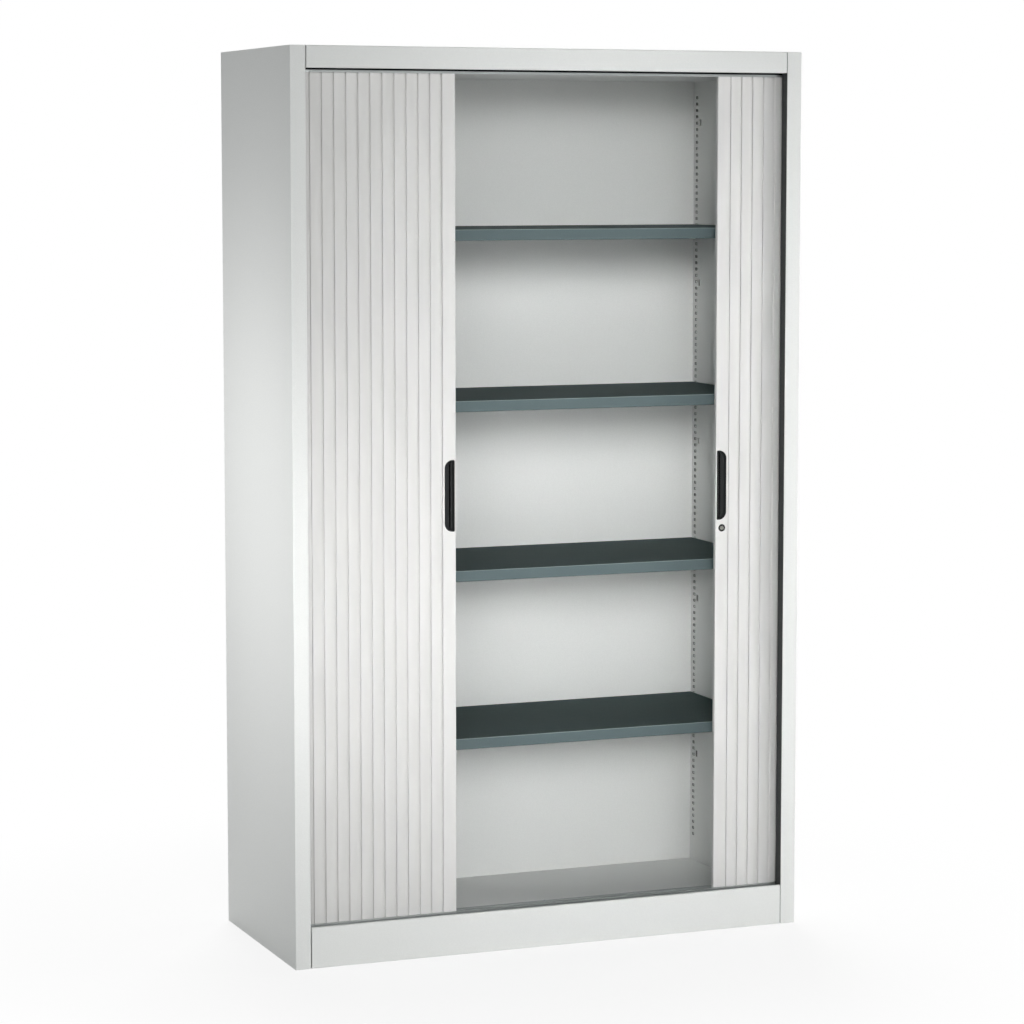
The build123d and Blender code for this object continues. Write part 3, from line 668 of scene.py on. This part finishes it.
def grip_piece(side):
    """Moulded finger cup: D outline, raised rim, sloping walls and a rounded bottom.

    It's drawn with the straight side at +X and mirrored for the right curtain.
    """
    node = f"grip_{side}"
    low, high = corners(node)
    half_width, half_height = (high[0] - low[0]) / 2, (high[2] - low[2]) / 2
    bm = bmesh.new()
    outline = polygon(
        bm,
        [
            (-half_width, 0, -half_height), (half_width, 0, -half_height),
            (half_width, 0, half_height), (-half_width, 0, half_height),
        ],
    )
    far = [v for v in outline.verts if v.co.x < 0]
    near = [v for v in outline.verts if v.co.x > 0]
    rounded(bm, far, FAR_CORNER, 12, affect="VERTICES")
    rounded(bm, near, NEAR_CORNER, 5, affect="VERTICES")
    bm.faces.ensure_lookup_table()
    rim_face = bm.faces[0]
    walls = bmesh.ops.extrude_edge_only(bm, edges=list(rim_face.edges))["geom"]
    deep = vertices_of(walls)
    bmesh.ops.translate(bm, vec=(0, GRIP_DEPTH + RIM_PROUD, 0), verts=deep)
    bmesh.ops.edgeloop_fill(bm, edges=edges_between(walls, deep))
    bmesh.ops.inset_region(bm, faces=[rim_face], thickness=GRIP_RIM, use_even_offset=True)
    sunk = bmesh.ops.extrude_face_region(bm, geom=[rim_face])["geom"]
    bottom = vertices_of(sunk)
    bmesh.ops.translate(bm, vec=(0, GRIP_DEPTH + RIM_PROUD - CUP_FLOOR, 0), verts=bottom)
    for v in bottom:
        v.co.x -= WALL_SLOPE if v.co.x > 0 else -WALL_SLOPE
        v.co.z -= WALL_SLOPE if v.co.z > 0 else -WALL_SLOPE
    if rim_face.is_valid:
        bmesh.ops.delete(bm, geom=[rim_face], context="FACES_ONLY")
    rounded(bm, edges_between(sunk, bottom), HOLLOW_ROUND, 4)
    rim_edges = [
        e for e in bm.edges
        if all(abs(v.co.y) < 1e-5 for v in e.verts)
        and len(e.link_faces) == 2
        and any(abs(f.normal.y) < 0.9 for f in e.link_faces)
    ]
    rounded(bm, rim_edges, RIM_ROUND, 3)
    if side == "right":
        mirrored(bm)
    x, _, z = middle(low, high)
    bmesh.ops.translate(bm, vec=(x, low[1] - RIM_PROUD, z), verts=bm.verts)
    finish_piece(bm, f"finger_cup_{side}", "grip_plastic", f"{side}_curtain", (node,))


for side in ("left", "right"):
    grip_piece(side)


# Lock -----------------------------------------------------------------------------------------

KEY_SLOT = (2.0, 12.0, 6.2)


def lock_rose():
    """Barrel with a domed black rose and a chamfered mouth round the plug."""
    low, high = corners("lock_housing")
    front, back = low[1], high[1]
    profile = [
        (4.55, front + 0.35), (4.9, front), (6.4, front), (7.6, front + 0.15),
        (8.25, front + 0.5), (8.5, front + 1.0), (7.0, front + 1.0), (7.0, back), (4.55, back),
    ]
    bm = turned(profile, low, high, steps=48)
    finish_piece(bm, "cylinder_rose", "lock_black", "right_curtain", ("lock_housing",))


def key_plug():
    """Nickel plug with a chamfered face and the key slot."""
    low, high = corners("lock_plug")
    front, back = low[1], high[1]
    profile = [
        (0, front + 0.15), (3.6, front + 0.15), (3.75, front), (4.2, front),
        (4.5, front + 0.3), (4.5, back), (0, back),
    ]
    bm = turned(profile, low, high, steps=48)
    plug = finish_piece(bm, "key_plug", "lock_nickel", "lock", ("lock_plug",), crease=25)
    x, _, z = middle(low, high)
    cutter_bm = bmesh.new()
    block(cutter_bm, KEY_SLOT, (x, front, z))
    bmesh.ops.scale(cutter_bm, vec=(MM, MM, MM), verts=cutter_bm.verts)
    cutter = new_object("key_slot", cutter_bm)
    cut = plug.modifiers.new("slot", "BOOLEAN")
    cut.object = cutter
    cut.operation = "DIFFERENCE"
    cut.solver = "EXACT"
    bpy.context.view_layer.update()
    slotted = bpy.data.meshes.new_from_object(
        plug.evaluated_get(bpy.context.evaluated_depsgraph_get())
    )
    plug.modifiers.clear()
    plug.data = slotted
    bpy.data.objects.remove(cutter)


def screw_cap():
    """Domed head of the screw that holds the cam, with a round dimple in its middle."""
    low, high = corners("cam_screw")
    foot, top = low[1], high[1]
    profile = [
        (0, foot), (3.0, foot), (3.0, top - 0.8), (2.5, top - 0.2), (1.5, top), (1.1, top),
        (0.5, top - 0.7), (0, top - 0.8),
    ]
    bm = turned(profile, low, high, steps=32)
    finish_piece(bm, "cam_screw_head", "plated_steel", "lock", ("cam_screw",), crease=40)


lock_rose()
key_plug()
screw_cap()


# Small parts of the carcass -------------------------------------------------------------------

SCREW_COUNT = 5
FLANGE_THICK = 0.5
HEXAGON_HEIGHT = 1.3
HEXAGON_SHARE, FLANGE_TOP_SHARE = 0.84, 0.92  # of the flange's radius
HEXAGON_ROUND = 0.3

BUFFER_SIZE = (9.0, 7.0, 40.0)
BUFFER_HEIGHTS = (300.0, 1000.0, 1700.0)
BUFFER_ROUND = 1.4


def hexagon_screws():
    """Flanged hexagon heads along the rear flange of the front track."""
    low, high = corners("track_screws")
    reach = (high[1] - low[1]) / 2
    hexagon = reach * HEXAGON_SHARE
    head_top = FLANGE_THICK + HEXAGON_HEIGHT
    screw = bmesh.new()
    upright(screw, hexagon, hexagon, 6, FLANGE_THICK, HEXAGON_HEIGHT)
    rim = [e for e in screw.edges if all(v.co.z > head_top - 0.1 for v in e.verts)]
    rounded(screw, rim, HEXAGON_ROUND, 2)
    upright(screw, reach, reach * FLANGE_TOP_SHARE, 24, 0.0, FLANGE_THICK)
    bm = bmesh.new()
    first, last = low[0] + reach, high[0] - reach
    for i in range(SCREW_COUNT):
        x = first + (last - first) * i / (SCREW_COUNT - 1)
        moved_copy(bm, screw, (x, low[1] + reach, low[2]))
    screw.free()
    finish_piece(bm, "flanged_track_screws", "plated_steel", "carcass", ("track_screws",))


def rounded_buffers():
    """Rubber stop blocks with moulded, rounded edges, glued on by their flat backs."""
    low, high = corners("stop_buffers")
    half_width = BUFFER_SIZE[0] / 2
    bm = bmesh.new()
    for z in BUFFER_HEIGHTS:
        for x in (low[0] + half_width, high[0] - half_width):
            stop = block(bm, BUFFER_SIZE, (x, (low[1] + high[1]) / 2, z))
            edges = [
                e for e in bm.edges
                if e.verts[0] in stop and any(v.co.y < high[1] - 0.01 for v in e.verts)
            ]
            rounded(bm, edges, BUFFER_ROUND, 3)
    finish_piece(bm, "rounded_stop_buffers", "buffer_rubber", "carcass", ("stop_buffers",))


hexagon_screws()
rounded_buffers()


# Studio, in metres ----------------------------------------------------------------------------

FLOOR_RADIUS = 14.0
FLOOR_DROP = 0.0005
FADE_START, FADE_END = 0.6, 1.6   # the floor turns into background over these distances
FADE_LEAST = 0.84


def soft_lamp(name, place, target, size, energy, spread=180):
    """Softbox aimed at a target. A spread under 180 degrees is a box with a grid over its face."""
    data = bpy.data.lights.new(name, "AREA")
    data.spread = radians(spread)
    data.shape = "RECTANGLE"
    data.size, data.size_y = size
    data.energy = energy
    lamp = bpy.data.objects.new(name, data)
    lamp.location = place
    lamp.rotation_euler = (Vector(target) - Vector(place)).to_track_quat("-Z", "Y").to_euler()
    lamp.visible_camera = False
    bpy.context.scene.collection.objects.link(lamp)


# The key stands far off and high, so that it reaches into the shelves. Weak boxes close to the
# front, low and to the right draw the slopes of the slats, and two short ones wash the left side.
# The last two light the back and the right side, which the key doesn't reach.
soft_lamp("high_key", (-2.3, -9.4, 3.8), (0.0, 0.0, 1.0), (2.6, 2.4), 230)
soft_lamp("shelf_strip", (-1.02, -3.32, 1.7), (0.1, -0.25, 1.05), (0.6, 1.7), 2.4, spread=24)
soft_lamp("low_front", (-0.3, -2.3, 0.35), (-0.3, -0.2, 0.25), (0.9, 0.5), 7.4)
soft_lamp("middle_front", (0.1, -2.3, 1.05), (0.0, -0.2, 1.0), (0.7, 0.6), 1.9)
soft_lamp("left_corner", (-1.0, -1.5, 0.85), (-0.6, -0.25, 0.85), (0.3, 0.5), 0.75, spread=60)
soft_lamp("right_rake", (2.2, -1.2, 1.3), (0.1, -0.25, 1.1), (0.5, 0.6), 16)
soft_lamp("side_high", (-1.3, 0.02, 1.22), (-0.6, 0.0, 1.22), (0.55, 0.3), 2.4)
soft_lamp("side_low", (-1.3, 0.02, 0.75), (-0.6, 0.0, 0.75), (0.55, 0.3), 1.35)
soft_lamp("rear_fill", (1.0, 4.2, 4.6), (0.0, 0.0, 1.2), (2.6, 2.2), 230)
soft_lamp("right_fill", (4.2, 0.9, 1.6), (0.6, 0.0, 1.0), (1.4, 1.6), 38)


def seen_directly(tree):
    """1 for rays that reach the background straight, by a mirror or through glass."""
    path = add_node(tree, "ShaderNodeLightPath").outputs
    pair = add_node(
        tree, "ShaderNodeMath", {0: path["Is Camera Ray"], 1: path["Is Glossy Ray"]},
        operation="MAXIMUM",
    ).outputs[0]
    return add_node(
        tree, "ShaderNodeMath", {0: pair, 1: path["Is Transmission Ray"]}, operation="MAXIMUM"
    ).outputs[0]


def studio_world():
    """White to look at, and a weak cool light from all sides."""
    world = bpy.data.worlds.new("studio")
    world.use_nodes = True
    tree = world.node_tree
    tree.nodes.clear()
    ambient = add_node(
        tree, "ShaderNodeBackground", {"Color": linear("#DFEAED"), "Strength": 0.13}
    )
    white = add_node(
        tree, "ShaderNodeBackground", {"Color": linear("#FFFFFF"), "Strength": 1.0}
    )
    mixed = add_node(
        tree, "ShaderNodeMixShader",
        {0: seen_directly(tree), 1: ambient.outputs[0], 2: white.outputs[0]},
    )
    add_node(tree, "ShaderNodeOutputWorld", {"Surface": mixed.outputs[0]})
    bpy.context.scene.world = world


def studio_floor():
    """White floor that shows the contact shadow and fades to the background further out."""
    bm = bmesh.new()
    bmesh.ops.create_circle(bm, cap_ends=True, segments=96, radius=FLOOR_RADIUS)
    floor = new_object("studio_floor", bm)
    floor.location.z = -FLOOR_DROP
    material, tree = empty_material("white_paper_floor")
    where = add_node(tree, "ShaderNodeTexCoord").outputs["Object"]
    away = add_node(tree, "ShaderNodeVectorMath", {0: where}, operation="LENGTH")
    fade = add_node(
        tree,
        "ShaderNodeMapRange",
        {
            "Value": away.outputs["Value"],
            "From Min": FADE_START,
            "From Max": FADE_END,
            "To Min": FADE_LEAST,
            "To Max": 1.0,
        },
        interpolation_type="SMOOTHSTEP",
    ).outputs[0]
    share = add_node(
        tree, "ShaderNodeMath", {0: fade, 1: seen_directly(tree)}, operation="MULTIPLY"
    ).outputs[0]
    paper = add_node(
        tree, "ShaderNodeBsdfDiffuse", {"Color": linear("#F7F7F6"), "Roughness": 0.0}
    )
    white = add_node(tree, "ShaderNodeEmission", {"Color": linear("#FFFFFF"), "Strength": 1.0})
    mixed = add_node(
        tree, "ShaderNodeMixShader", {0: share, 1: paper.outputs[0], 2: white.outputs[0]}
    )
    add_node(tree, "ShaderNodeOutputMaterial", {"Surface": mixed.outputs[0]})
    floor.data.materials.append(material)


def camera():
    """Long lens from the front left, a little above the middle of the cabinet."""
    data = bpy.data.cameras.new("view")
    data.lens = 112.95
    data.sensor_width = 36.0
    data.shift_y = -0.02
    data.clip_end = 100.0
    eye = bpy.data.objects.new("view", data)
    eye.location = (-2.6918, -6.7298, 1.7252)
    eye.rotation_euler = (radians(90 - 5.772), 0, radians(-21.818))
    bpy.context.scene.collection.objects.link(eye)
    bpy.context.scene.camera = eye


studio_world()
studio_floor()
camera()
bpy.context.scene.view_settings.view_transform = "Standard"
